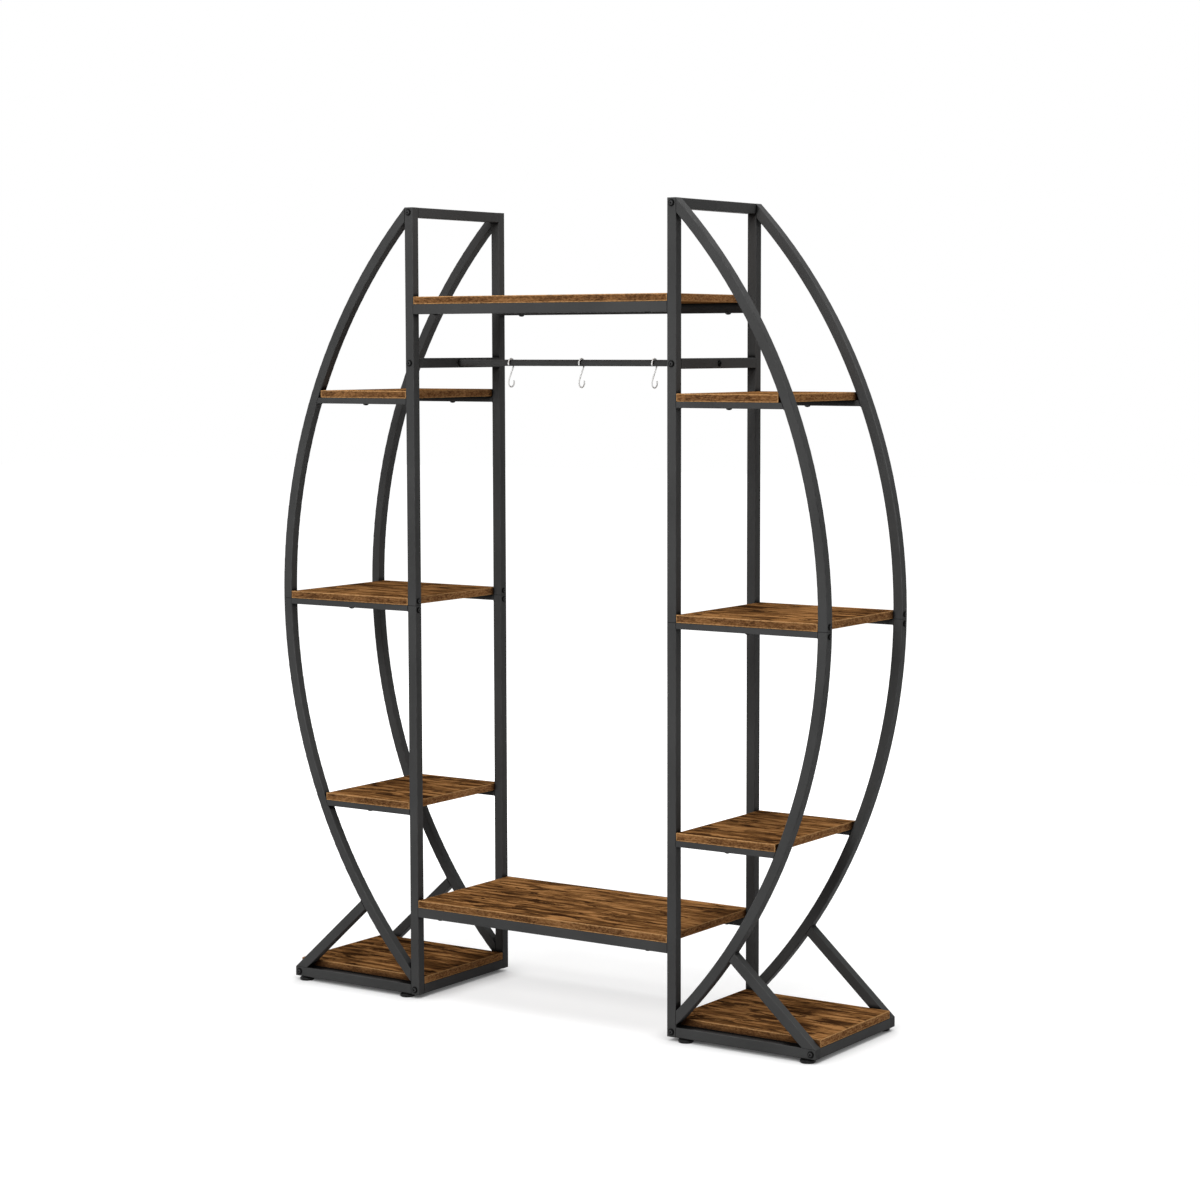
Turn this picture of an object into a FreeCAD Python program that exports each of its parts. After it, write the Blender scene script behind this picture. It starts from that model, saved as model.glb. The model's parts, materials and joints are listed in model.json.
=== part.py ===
import FreeCAD, Part
import math
import os

# Plant stand with grow lights: two half-moon racks of square tube, left and right, joined by
# a centre section with two shelves and a hanging bar. Millimetres, +X right, +Y back, +Z up,
# with the origin on the floor under the middle of the stand.

os.makedirs("parts", exist_ok=True)
V = FreeCAD.Vector
X = V(1, 0, 0)
Y = V(0, 1, 0)
Z = V(0, 0, 1)

# Overall layout
centre_span = 604.0  # clear width between the left and right posts
depth = 312.0  # over the outside of the front and back frames
post_height = 1600.0
foot_height = 8.0  # floor to the underside of the base rails, feet screwed in
bend_lift = 4.0  # base rail to the lower end of the bent tube
base_reach = 308.0  # length of a base rail, out from its post
bend_overhang = 20.0  # bent tube past the end of the base rail
strut_angle = 42.0  # slope of the strut, in degrees

# Levels of the undersides of the boards, above the lower end of the posts
lower_shelf_level = 383.0
middle_shelf_level = 801.0
upper_shelf_level = 1219.0
centre_lower_level = 182.0
centre_top_level = 1407.5
bar_drop = 117.5  # top centre board to the middle of the hanging bar

# Square tube of the frames and the flatter tube of the side shelf rails
tube = 20.0
tube_wall = 1.2
tube_corner = 1.6  # outside corner radius
least_corner = 0.2
shelf_rail_height = 12.0
weld_gap = 0.05  # under a saddle-cut end
end_plate = 3.0  # closes the end of a cross rail and takes its bolt
plug_depth = 4.0
plug_fit = 0.05

# Boards
board_thickness = 15.0
board_edge = 0.8  # rounding along the edges
board_gap = 0.5  # between a board and the tube beside it
board_setback = 0.5  # behind the outer face of the frames
pilot_depth = 11.0

# Joints of the posts and bent tubes
connector_length = 44.0
connector_gap = 0.4
joint_bolt_offset = 9.0  # above and below the joint
joint_bolt_grip = 10.0

# Centre rails slide over spigots that are welded to the posts
spigot_length = 70.0
spigot_wall = 1.5
spigot_gap = 0.3
rail_end_gap = 0.3
centre_bolt_inset = 50.0

# Button-head bolts: frame bolts, smaller shelf and joint bolts
frame_bolt = 6.0
frame_bolt_head = 12.0
frame_bolt_head_height = 3.3
frame_bolt_socket = 4.0
frame_bolt_grip = 10.0
bolt_rim = 1.4  # straight side of every bolt head
socket_depth = 1.6
small_bolt = 5.0
small_bolt_head = 11.0
small_bolt_head_height = 3.2
small_bolt_socket = 3.0
shelf_bolt_grip = 10.0
bolt_slack = 0.3  # hole diameter over bolt diameter
curve_seat_gap = 0.05  # flat bolt head on a bent tube
overshoot = 1.0  # cutters start this far outside

# Hanging bar and its hooks
bar_diameter = 13.0
bar_wall = 1.5
bar_plug = 14.0  # solid end of the bar, which takes its bolt
hook_pitch = 173.0
hook_wire = 3.0
hook_lean = 30.0  # slant of the run between the loops, degrees from the vertical
hook_slack = 1.5  # loop radius over bar radius
hook_seat_gap = 0.3
hook_tip_turn = 195.0  # where the loop ends, degrees from the horizontal

# Levelling feet
foot_diameter = 30.0
foot_pad_height = 6.0
foot_pad_round = 1.4
foot_neck = 15.0
foot_seat_gap = 0.3
foot_stud = 8.0
foot_stud_engaged = 16.0
foot_stud_slack = 0.5
foot_nut_flats = 13.0
foot_nut_height = 6.0
foot_inset_inner = 17.0  # from the post
foot_inset_outer = 22.0  # from the end of the base rail

# Grow lights
centre_light_length = 440.0  # left to right
side_light_length = 200.0  # front to back
light_width = 18.0
light_height = 8.0
light_top_wall = 1.2
light_side_wall = 1.5
light_lip = 1.2  # inward lip that carries the cover
light_lip_thickness = 0.8
light_groove = 0.6  # depth of the groove that the clip holds
light_groove_height = 1.6
light_groove_drop = 3.6  # housing top to the groove
cover_fit = 0.1
cover_thickness = 1.2
cover_crown = 1.0
circuit_width = 12.0
circuit_thickness = 1.0
chip_length = 3.5
chip_width = 2.8
chip_thickness = 0.7
chip_pitch = 20.0
light_cap_length = 8.0
inlet_diameter = 5.0
inlet_depth = 6.0
clip_base = 1.6
clip_arm = 1.0
clip_fit = 0.2
clip_length = 12.0
clip_inset = 40.0  # from the end of the housing
clip_screw = 3.0
clip_screw_head = 5.4
clip_screw_head_height = 1.2
clip_screw_grip = 10.0
clip_screw_slack = 0.2

# Places that follow from the sizes above
floor_gap = foot_height
post_in = centre_span / 2
post_out = post_in + tube
post_x = post_in + tube / 2
frame_y = depth / 2 - tube / 2
base_end = post_out + base_reach
base_bolt_x = base_end - tube / 2
post_top = floor_gap + post_height
base_top = floor_gap + tube
base_mid = floor_gap + tube / 2
joint_z = floor_gap + middle_shelf_level
crossbar_z = floor_gap + centre_top_level - bar_drop
top_rail_z = post_top - tube / 2
bend_low = base_top + bend_lift
bend_z = (post_top + bend_low) / 2
bend_half_chord = (post_top - bend_low) / 2
bulge = base_reach + bend_overhang  # how far the bent tube stands out past its post
bend_radius = (bend_half_chord ** 2 + bulge ** 2) / (2 * bulge)
bend_inner = bend_radius - tube
bend_x = post_out + bulge - bend_radius
tube_bore = tube - 2 * tube_wall
connector_width = tube_bore - 2 * connector_gap
spigot_width = tube_bore - 2 * spigot_gap
frame_hole = frame_bolt + bolt_slack
small_hole = small_bolt + bolt_slack
reach = post_height + base_end  # longer than any piece
SIDES = {"left": -1, "right": 1}
FACES = {"front": -1, "back": 1}
side_levels = {"lower": lower_shelf_level, "middle": middle_shelf_level, "upper": upper_shelf_level}
centre_levels = {"lower": centre_lower_level, "top": centre_top_level}

nodes = {}


# Shape helpers
def rounded_wire(centre, across, up, width, height, radius):
    half_width = width / 2 - radius
    half_height = height / 2 - radius
    signs = [(1, 1), (-1, 1), (-1, -1), (1, -1)]
    arcs = []
    for turn, (sign_across, sign_up) in enumerate(signs):
        hub = centre + across * (sign_across * half_width) + up * (sign_up * half_height)
        points = []
        for step in (0, 45, 90):
            angle = math.radians(90 * turn + step)
            points.append(hub + across * (radius * math.cos(angle)) + up * (radius * math.sin(angle)))
        arcs.append(points)
    edges = []
    for turn, points in enumerate(arcs):
        following = arcs[(turn + 1) % len(arcs)]
        edges.append(Part.Arc(*points).toShape())
        edges.append(Part.LineSegment(points[-1], following[0]).toShape())
    return Part.Wire(edges)


def tube_section(centre, across, up, width, height, thickness):
    bore_corner = max(tube_corner - thickness, least_corner)
    outer = rounded_wire(centre, across, up, width, height, tube_corner)
    bore = rounded_wire(centre, across, up, width - 2 * thickness, height - 2 * thickness, bore_corner)
    return Part.makeFace([outer, bore], "Part::FaceMakerBullseye")


def straight_tube(start, end, across, width, height, thickness=tube_wall):
    run = end - start
    up = run.cross(across).normalize()
    return tube_section(start, across, up, width, height, thickness).extrude(run)


def solid_bar(start, end, across, width, height):
    run = end - start
    up = run.cross(across).normalize()
    return Part.Face(rounded_wire(start, across, up, width, height, least_corner)).extrude(run)


def block(low, high):
    size = high - low
    return Part.makeBox(size.x, size.y, size.z, low)


def rod(start, direction, diameter, length):
    return Part.makeCylinder(diameter / 2, length, start, direction)


def hexagon(centre, flats, height):
    corner = flats / math.sqrt(3)
    points = [centre + V(corner * math.cos(k * math.pi / 3), corner * math.sin(k * math.pi / 3), 0)
              for k in range(7)]
    return Part.Face(Part.makePolygon(points)).extrude(Z * height)


def turned(points):
    # Spins a closed outline of (radius, height) points about the Z axis.
    outline = [V(radius, 0, height) for radius, height in points]
    outline.append(outline[0])
    return Part.Face(Part.makePolygon(outline)).revolve(V(0, 0, 0), Z, 360)


def aimed(shape, place, direction):
    # Moves a piece made on the Z axis, head up, so that its shank points along direction.
    moved = shape.copy()
    moved.Placement = FreeCAD.Placement(place, FreeCAD.Rotation(-Z, direction))
    return moved


def mirrored(shape, side, face):
    # Pieces are made for the right side and the front.
    if side < 0:
        shape = shape.mirror(V(0, 0, 0), X)
    if face > 0:
        shape = shape.mirror(V(0, 0, 0), Y)
    return shape


def keep(name, solids):
    nodes[name] = Part.makeCompound(solids) if isinstance(solids, list) else solids


# Shape of the bent tubes
def bend_reach(radius, z):
    return bend_x + math.sqrt(radius ** 2 - (z - bend_z) ** 2)


def bend_disc(radius):
    return Part.makeCylinder(radius, 2 * depth, V(bend_x, -depth, bend_z), Y)


def bent_tube(low, high):
    end_angle = math.degrees(math.acos((post_out - tube - bend_x) / bend_radius))
    start = V(bend_x + bend_radius - tube / 2, -frame_y, bend_z)
    section = tube_section(start, X, Y, tube, tube, tube_wall)
    hub = V(bend_x, -frame_y, bend_z)
    section.rotate(hub, Y, end_angle)
    whole = section.revolve(hub, Y, -2 * end_angle)
    return whole.common(block(V(post_out, -depth, low), V(reach, 0, high)))


# Welded frames, made for the right side at the front
def side_board_end(level):
    low = floor_gap + level
    return min(bend_reach(bend_inner, low), bend_reach(bend_inner, low + board_thickness)) - board_gap


def shelf_bolt_x(level):
    return (post_out + side_board_end(level)) / 2


def shelf_rail(level):
    z = floor_gap + level - shelf_rail_height / 2
    rail = straight_tube(V(post_out, -frame_y, z), V(reach, -frame_y, z), Y, tube, shelf_rail_height)
    rail = rail.common(bend_disc(bend_inner - weld_gap))
    foot = V(shelf_bolt_x(level), -frame_y, z - shelf_rail_height)
    return rail.cut(rod(foot, Z, small_hole, 2 * shelf_rail_height))


def spigot(level):
    z = floor_gap + level - tube / 2
    end = V(post_in - spigot_length, -frame_y, z)
    sleeve = straight_tube(end, V(post_in, -frame_y, z), Y, spigot_width, spigot_width, spigot_wall)
    return sleeve.cut(rod(V(post_in - centre_bolt_inset, -frame_y, z - tube), Z, small_hole, 2 * tube))


def post(low, high, cross_bolts, joint_bolt_z):
    shape = straight_tube(V(post_x, -frame_y, low), V(post_x, -frame_y, high), X, tube, tube)
    holes = [rod(V(post_x, -depth, z), Y, frame_hole, depth) for z in cross_bolts]
    holes.append(rod(V(post_in - tube / 2, -frame_y, joint_bolt_z), X, small_hole, tube))
    return shape.cut(holes)


def bend(low, high, joint_bolt_z):
    shape = bent_tube(low, high)
    middle = V(bend_reach(bend_radius - tube / 2, joint_bolt_z), -frame_y, joint_bolt_z)
    return shape.cut(rod(middle, X, small_hole, tube))


def base_rail():
    rail = straight_tube(V(post_out, -frame_y, base_mid), V(base_end, -frame_y, base_mid), Y, tube, tube)
    holes = [rod(V(base_bolt_x, -depth, base_mid), Y, frame_hole, depth)]
    for x in foot_places:
        holes.append(rod(V(x, -frame_y, 0), Z, foot_stud + foot_stud_slack, base_mid))
    return rail.cut(holes)


def strut():
    slope = math.radians(strut_angle)
    along = V(-math.cos(slope), 0, math.sin(slope))
    below = V(-math.sin(slope), 0, -math.cos(slope))
    start = V(base_end, -frame_y, base_top) + below * (tube / 2)
    shape = straight_tube(start - along * (2 * tube), start + along * base_reach, Y, tube, tube)
    shape = shape.cut(bend_disc(bend_radius + weld_gap))
    return shape.common(block(V(0, -depth, base_top), V(base_end, 0, post_top)))


foot_places = [post_out + foot_inset_inner, base_end - foot_inset_outer]
upper_bolt_z = joint_z + joint_bolt_offset
lower_bolt_z = joint_z - joint_bolt_offset
upper_frame = [
    post(joint_z, post_top, [crossbar_z, top_rail_z], upper_bolt_z),
    bend(joint_z, post_top, upper_bolt_z),
    shelf_rail(upper_shelf_level),
    spigot(centre_top_level),
]
lower_frame = [
    post(floor_gap, joint_z, [base_mid], lower_bolt_z),
    bend(base_top, joint_z, lower_bolt_z),
    shelf_rail(middle_shelf_level),
    shelf_rail(lower_shelf_level),
    base_rail(),
    strut(),
    spigot(centre_lower_level),
]
for side_name, side in SIDES.items():
    for face_name, face in FACES.items():
        keep(f"{side_name}_{face_name}_upper_frame", [mirrored(piece, side, face) for piece in upper_frame])
        keep(f"{side_name}_{face_name}_lower_frame", [mirrored(piece, side, face) for piece in lower_frame])


# Cross rails between the front and back frames, closed at both ends
cross_half = depth / 2 - tube


def cross_rail(x, z):
    start = V(x, -cross_half, z)
    end = V(x, cross_half, z)
    body = Part.Face(rounded_wire(start, X, Z, tube, tube, tube_corner)).extrude(end - start)
    bore_corner = max(tube_corner - tube_wall, least_corner)
    bore_start = start + Y * end_plate
    bore = Part.Face(rounded_wire(bore_start, X, Z, tube_bore, tube_bore, bore_corner))
    body = body.cut(bore.extrude(Y * (2 * (cross_half - end_plate))))
    return body.cut(rod(start - Y * overshoot, Y, frame_hole, depth))


def base_cross_rail(x):
    # The base board is bolted down through the middle of the rail.
    return cross_rail(x, base_mid).cut(rod(V(x, 0, 0), Z, small_hole, base_top + tube))


def crossbar():
    return cross_rail(post_x, crossbar_z).cut(rod(V(post_in - tube, 0, crossbar_z), X, frame_hole, 3 * tube))


for side_name, side in SIDES.items():
    keep(f"{side_name}_top_rail", mirrored(cross_rail(post_x, top_rail_z), side, -1))
    keep(f"{side_name}_hanger_crossbar", mirrored(crossbar(), side, -1))
    keep(f"{side_name}_base_inner_rail", mirrored(base_cross_rail(post_x), side, -1))
    keep(f"{side_name}_base_outer_rail", mirrored(base_cross_rail(base_bolt_x), side, -1))

# Centre rails over the spigots
centre_bolt_places = [-(post_in - centre_bolt_inset), post_in - centre_bolt_inset]
rail_half = post_in - rail_end_gap
for level_name, level in centre_levels.items():
    rail_z = floor_gap + level - tube / 2
    for face_name, face in FACES.items():
        y = face * frame_y
        rail = straight_tube(V(-rail_half, y, rail_z), V(rail_half, y, rail_z), Y, tube, tube)
        holes = [rod(V(x, y, rail_z - tube), Z, small_hole, 2 * tube) for x in centre_bolt_places]
        keep(f"centre_{level_name}_{face_name}_rail", rail.cut(holes))


# Boards with pilot holes for the bolts from below
def board(low, high, bolt_places, screw_places=()):
    shape = block(low, high)
    shape = shape.makeFillet(board_edge, shape.Edges)
    below = low.z - overshoot
    length = pilot_depth + overshoot
    pilots = [rod(V(x, y, below), Z, small_hole, length) for x, y in bolt_places]
    for x, y in screw_places:
        pilots.append(rod(V(x, y, below), Z, clip_screw + clip_screw_slack, length))
    return shape.cut(pilots)


def clip_places(length):
    offset = length / 2 - clip_inset
    return [-offset, offset]


board_y = depth / 2 - board_setback
side_light_x = shelf_bolt_x(middle_shelf_level)
for side_name, side in SIDES.items():
    for level_name, level in side_levels.items():
        low = V(post_out + board_gap, -board_y, floor_gap + level)
        high = V(side_board_end(level), board_y, floor_gap + level + board_thickness)
        bolts = [(shelf_bolt_x(level), face * frame_y) for face in FACES.values()]
        screws = []
        if level_name == "middle":
            screws = [(side_light_x, y) for y in clip_places(side_light_length)]
        keep(f"{side_name}_{level_name}_shelf", mirrored(board(low, high, bolts, screws), side, -1))
    base_low = V(post_in, -(cross_half - board_gap), base_top)
    base_high = V(base_end, cross_half - board_gap, base_top + board_thickness)
    base_board = board(base_low, base_high, [(post_x, 0), (base_bolt_x, 0)])
    keep(f"{side_name}_base_board", mirrored(base_board, side, -1))

for level_name, level in centre_levels.items():
    low = V(-(post_in - board_gap), -board_y, floor_gap + level)
    high = V(post_in - board_gap, board_y, floor_gap + level + board_thickness)
    bolts = [(x, face * frame_y) for x in centre_bolt_places for face in FACES.values()]
    screws = []
    if level_name == "top":
        screws = [(x, 0) for x in clip_places(centre_light_length)]
    keep(f"centre_{level_name}_shelf", board(low, high, bolts, screws))


# Bolts: a low dome with a hexagon socket on a plain shank
def button_bolt(shank, length, head, head_height, socket):
    crown = head_height - bolt_rim
    ball = ((head / 2) ** 2 + crown ** 2) / (2 * crown)
    dome = Part.makeSphere(ball, V(0, 0, head_height - ball))
    body = rod(V(0, 0, 0), Z, head, head_height).common(dome)
    body = body.fuse(rod(V(0, 0, -length), Z, shank, length))
    return body.cut(hexagon(V(0, 0, head_height - socket_depth), socket, head_height))


def frame_bolt_of(length):
    return button_bolt(frame_bolt, length, frame_bolt_head, frame_bolt_head_height, frame_bolt_socket)


def small_bolt_of(length):
    return button_bolt(small_bolt, length, small_bolt_head, small_bolt_head_height, small_bolt_socket)


long_bolt = frame_bolt_of(tube + frame_bolt_grip)
joint_bolt = small_bolt_of(tube_wall + connector_gap + joint_bolt_grip)
side_bolt = small_bolt_of(shelf_rail_height + shelf_bolt_grip)
rail_bolt = small_bolt_of(tube + shelf_bolt_grip)

frame_bolts = []
joint_bolts = []
shelf_bolts = []
for side in SIDES.values():
    for face in FACES.values():
        for x, z in [(post_x, top_rail_z), (post_x, crossbar_z), (post_x, base_mid), (base_bolt_x, base_mid)]:
            frame_bolts.append(aimed(long_bolt, V(side * x, face * depth / 2, z), Y * -face))
        for z in (upper_bolt_z, lower_bolt_z):
            joint_bolts.append(aimed(joint_bolt, V(side * post_in, face * frame_y, z), X * side))
            head_edge = max(bend_reach(bend_radius, z + k * small_bolt_head / 2) for k in (-1, 0, 1))
            seat = V(side * (head_edge + curve_seat_gap), face * frame_y, z)
            joint_bolts.append(aimed(joint_bolt, seat, X * -side))
        for level in side_levels.values():
            seat = V(side * shelf_bolt_x(level), face * frame_y, floor_gap + level - shelf_rail_height)
            shelf_bolts.append(aimed(side_bolt, seat, Z))
    frame_bolts.append(aimed(long_bolt, V(side * post_out, 0, crossbar_z), X * -side))
    for x in (post_x, base_bolt_x):
        shelf_bolts.append(aimed(rail_bolt, V(side * x, 0, floor_gap), Z))
for level in centre_levels.values():
    for x in centre_bolt_places:
        for face in FACES.values():
            shelf_bolts.append(aimed(rail_bolt, V(x, face * frame_y, floor_gap + level - tube), Z))
keep("frame_bolts", frame_bolts)
keep("joint_bolts", joint_bolts)
keep("shelf_bolts", shelf_bolts)


# Connectors inside the joints, tapped for the joint bolts from one side
def connector(middle_x, bolt_side):
    low = joint_z - connector_length / 2
    start = V(middle_x, -frame_y, low)
    bar = solid_bar(start, start + Z * connector_length, X, connector_width, connector_width)
    outside = V(middle_x + bolt_side * tube, -frame_y, 0)
    inward = X * -bolt_side
    holes = []
    for z in (upper_bolt_z, lower_bolt_z):
        holes.append(rod(outside + Z * z, inward, small_hole, tube + connector_width / 2))
    return bar.cut(holes)


bend_line = [bend_reach(bend_radius - tube / 2, joint_z + k * connector_length / 2) for k in (-1, 0, 1)]
bend_connector_x = (max(bend_line) + min(bend_line)) / 2
connectors = []
for side in SIDES.values():
    for face in FACES.values():
        connectors.append(mirrored(connector(post_x, -1), side, face))
        connectors.append(mirrored(connector(bend_connector_x, 1), side, face))
keep("joint_connectors", connectors)

# Plugs in the open tube ends: post tops, post feet and base rail ends
plug_width = tube_bore - 2 * plug_fit
plugs = []
for side in SIDES.values():
    for face in FACES.values():
        ends = [(V(post_x, -frame_y, post_top - plug_depth), Z, X),
                (V(post_x, -frame_y, floor_gap), Z, X),
                (V(base_end - plug_depth, -frame_y, base_mid), X, Y)]
        for start, direction, across in ends:
            plug = solid_bar(start, start + direction * plug_depth, across, plug_width, plug_width)
            plugs.append(mirrored(plug, side, face))
keep("tube_end_plugs", plugs)


# Hanging bar between the crossbars, with solid tapped ends
def hanging_bar():
    bar = rod(V(-post_in, 0, crossbar_z), X, bar_diameter, centre_span)
    bore_half = post_in - bar_plug
    bar = bar.cut(rod(V(-bore_half, 0, crossbar_z), X, bar_diameter - 2 * bar_wall, 2 * bore_half))
    return bar.cut(rod(V(-post_in, 0, crossbar_z), X, frame_hole, centre_span))


keep("hanging_bar", hanging_bar())


# S-hooks: two equal loops joined by a straight slanting run, bent from one wire in the Y-Z plane
def s_hook(x):
    loop = bar_diameter / 2 + hook_slack + hook_wire / 2
    lean = math.radians(hook_lean)
    loop_half = loop / math.sin(lean)
    loop_z = crossbar_z + bar_diameter / 2 + hook_seat_gap - (loop - hook_wire / 2)
    middle = V(x, 0, loop_z - loop_half)
    hub = middle + Z * loop_half
    tip = math.radians(hook_tip_turn)
    points = []
    for angle in (tip, (tip - lean) / 2, -lean):
        points.append(hub + V(0, loop * math.cos(angle), loop * math.sin(angle)))
    lower = [middle * 2 - point for point in points]
    path = Part.Wire([Part.Arc(*points).toShape(),
                      Part.LineSegment(points[-1], lower[-1]).toShape(),
                      Part.Arc(*reversed(lower)).toShape()])
    tangent = V(0, math.sin(tip), -math.cos(tip))
    profile = Part.Wire(Part.Circle(points[0], tangent, hook_wire / 2).toShape())
    return path.makePipeShell([profile], True, False)


for hook_name, step in {"left_hook": -1, "middle_hook": 0, "right_hook": 1}.items():
    keep(hook_name, s_hook(step * hook_pitch))


# Levelling feet: a round pad and neck on a threaded stud
def foot(x, y):
    pad = foot_diameter / 2
    neck_top = foot_height - foot_seat_gap
    outline = [(0, 0), (pad - foot_pad_round, 0), (pad, foot_pad_round),
               (pad, foot_pad_height - foot_pad_round), (pad - foot_pad_round, foot_pad_height),
               (foot_neck / 2, foot_pad_height), (foot_neck / 2, neck_top), (foot_stud / 2, neck_top),
               (foot_stud / 2, foot_height + foot_stud_engaged), (0, foot_height + foot_stud_engaged)]
    shape = turned(outline)
    shape.translate(V(x, y, 0))
    return shape


def foot_nut(x, y):
    seat = V(x, y, floor_gap + tube_wall)
    nut = hexagon(seat, foot_nut_flats, foot_nut_height)
    return nut.cut(rod(seat, Z, foot_stud + foot_stud_slack, foot_nut_height))


foot_nuts = []
for side_name, side in SIDES.items():
    for face_name, face in FACES.items():
        for place_name, x in zip(("inner", "outer"), foot_places):
            keep(f"{side_name}_{face_name}_{place_name}_foot", foot(side * x, face * frame_y))
            foot_nuts.append(foot_nut(side * x, face * frame_y))
keep("foot_nuts", foot_nuts)


# Grow lights: made along X with the underside of the board at zero, then laid under their boards
def extruded(points, start_x, length):
    outline = [V(start_x, y, z) for y, z in points]
    outline.append(outline[0])
    return Part.Face(Part.makePolygon(outline)).extrude(X * length)


def both_sides(half):
    # Adds the mirror image of a half outline that starts and ends on the centre line.
    return half + [(-y, z) for y, z in reversed(half) if y > 0]


def laid(shape, place, direction):
    moved = shape.copy()
    moved.Placement = FreeCAD.Placement(place, FreeCAD.Rotation(X, direction))
    return moved


housing_half = light_width / 2
housing_inner = housing_half - light_side_wall
housing_top = -(clip_base + clip_fit)
housing_low = housing_top - light_height
strip_top = housing_top - light_top_wall
strip_low = strip_top - circuit_thickness
lip_edge = housing_inner - light_lip
lip_top = housing_low + light_lip_thickness
groove_edge = housing_half - light_groove
groove_top = housing_top - light_groove_drop
groove_low = groove_top - light_groove_height
arm_inner = housing_half + clip_fit
arm_outer = arm_inner + clip_arm
catch_edge = groove_edge + clip_fit
catch_top = groove_top - clip_fit
catch_low = groove_low + clip_fit
inlet_z = (housing_top + housing_low) / 2


def housing(length):
    section = both_sides([
        (0, housing_top), (housing_half, housing_top), (housing_half, groove_top), (groove_edge, groove_top),
        (groove_edge, groove_low), (housing_half, groove_low), (housing_half, housing_low),
        (lip_edge, housing_low), (lip_edge, lip_top), (housing_inner, lip_top), (housing_inner, strip_top),
        (0, strip_top)])
    return extruded(section, -length / 2, length)


def light_cover(length):
    # A flange rests on the lips, and the part between them bulges down a little.
    flange = V(0, housing_inner - cover_fit, 0)
    stem = V(0, lip_edge - cover_fit, 0)
    end = V(length, 0, cover_thickness)
    seat = V(-length / 2, 0, lip_top)
    lowest = V(-length / 2, 0, housing_low - cover_crown)
    curve = (stem.y ** 2 + cover_crown ** 2) / (2 * cover_crown)
    bulge_rod = rod(lowest + Z * curve, X, 2 * curve, length)
    bulge_block = block(lowest - stem, seat + stem + X * length)
    return block(seat - flange, seat + flange + end).fuse(bulge_block.common(bulge_rod))


def circuit(length):
    half = V(length / 2, circuit_width / 2, 0)
    pieces = [block(Z * strip_low - half, Z * strip_top + half)]
    count = int(length // chip_pitch)
    chip_half = V(chip_length / 2, chip_width / 2, 0)
    for k in range(count):
        place = V((k - (count - 1) / 2) * chip_pitch, 0, strip_low)
        pieces.append(block(place - chip_half - Z * chip_thickness, place + chip_half))
    return pieces


def end_caps(length):
    # The power inlet is in the cap at the far end.
    low = V(length / 2, -housing_half, housing_low)
    high = V(length / 2 + light_cap_length, housing_half, housing_top)
    plain = block(low, high).mirror(V(0, 0, 0), X)
    inlet = rod(V(high.x, 0, inlet_z), -X, inlet_diameter, inlet_depth)
    return [plain, block(low, high).cut(inlet)]


def spring_clip(x):
    section = both_sides([
        (0, 0), (arm_outer, 0), (arm_outer, catch_low), (catch_edge, catch_low), (catch_edge, catch_top),
        (arm_inner, catch_top), (arm_inner, -clip_base), (0, -clip_base)])
    return extruded(section, x - clip_length / 2, clip_length).cut(countersink(x, clip_screw_slack, 0))


def countersink(x, slack, grip):
    # The cone and shank of a clip screw, or of the hole for it, up from the underside of the clip.
    seat = V(x, 0, -clip_base)
    wide = (clip_screw_head + slack) / 2
    narrow = (clip_screw + slack) / 2
    cone = Part.makeCone(wide, narrow, clip_screw_head_height, seat, Z)
    return cone.fuse(rod(seat, Z, 2 * narrow, clip_base + grip))


light_caps = []
clips = []
clip_screws = []
lights = {
    "centre": (0.0, centre_top_level, centre_light_length, X),
    "left": (-side_light_x, middle_shelf_level, side_light_length, Y),
    "right": (side_light_x, middle_shelf_level, side_light_length, Y),
}
for light_name, (middle_x, level, length, direction) in lights.items():
    place = V(middle_x, 0, floor_gap + level)
    keep(f"{light_name}_light_housing", laid(housing(length), place, direction))
    keep(f"{light_name}_light_cover", laid(light_cover(length), place, direction))
    keep(f"{light_name}_light_circuit", [laid(piece, place, direction) for piece in circuit(length)])
    light_caps += [laid(cap, place, direction) for cap in end_caps(length)]
    for x in clip_places(length):
        clips.append(laid(spring_clip(x), place, direction))
        clip_screws.append(laid(countersink(x, 0, clip_screw_grip), place, direction))
keep("light_end_caps", light_caps)
keep("light_clips", clips)
keep("clip_screws", clip_screws)

for name, shape in nodes.items():
    shape.exportStep(f"parts/{name}.step")
print(len(nodes), "nodes")
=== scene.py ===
# %% [markdown]
# # A plant stand with grow lights
#
# The stand is welded from square steel tube, coated charcoal, and carries boards with a rustic
# brown grain. Two half-moon racks stand left and right, and a centre section joins them. The
# construction comes in as a fixed frame at its real size, in metres, and this lesson gives it
# its looks: a finish for every part, the small things that a welder, a thread cutter and a
# socket maker leave behind, and a plain studio to see it in.

# %% Load the frame
import json
import math

import bpy
from mathutils import Matrix, Vector


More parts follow.
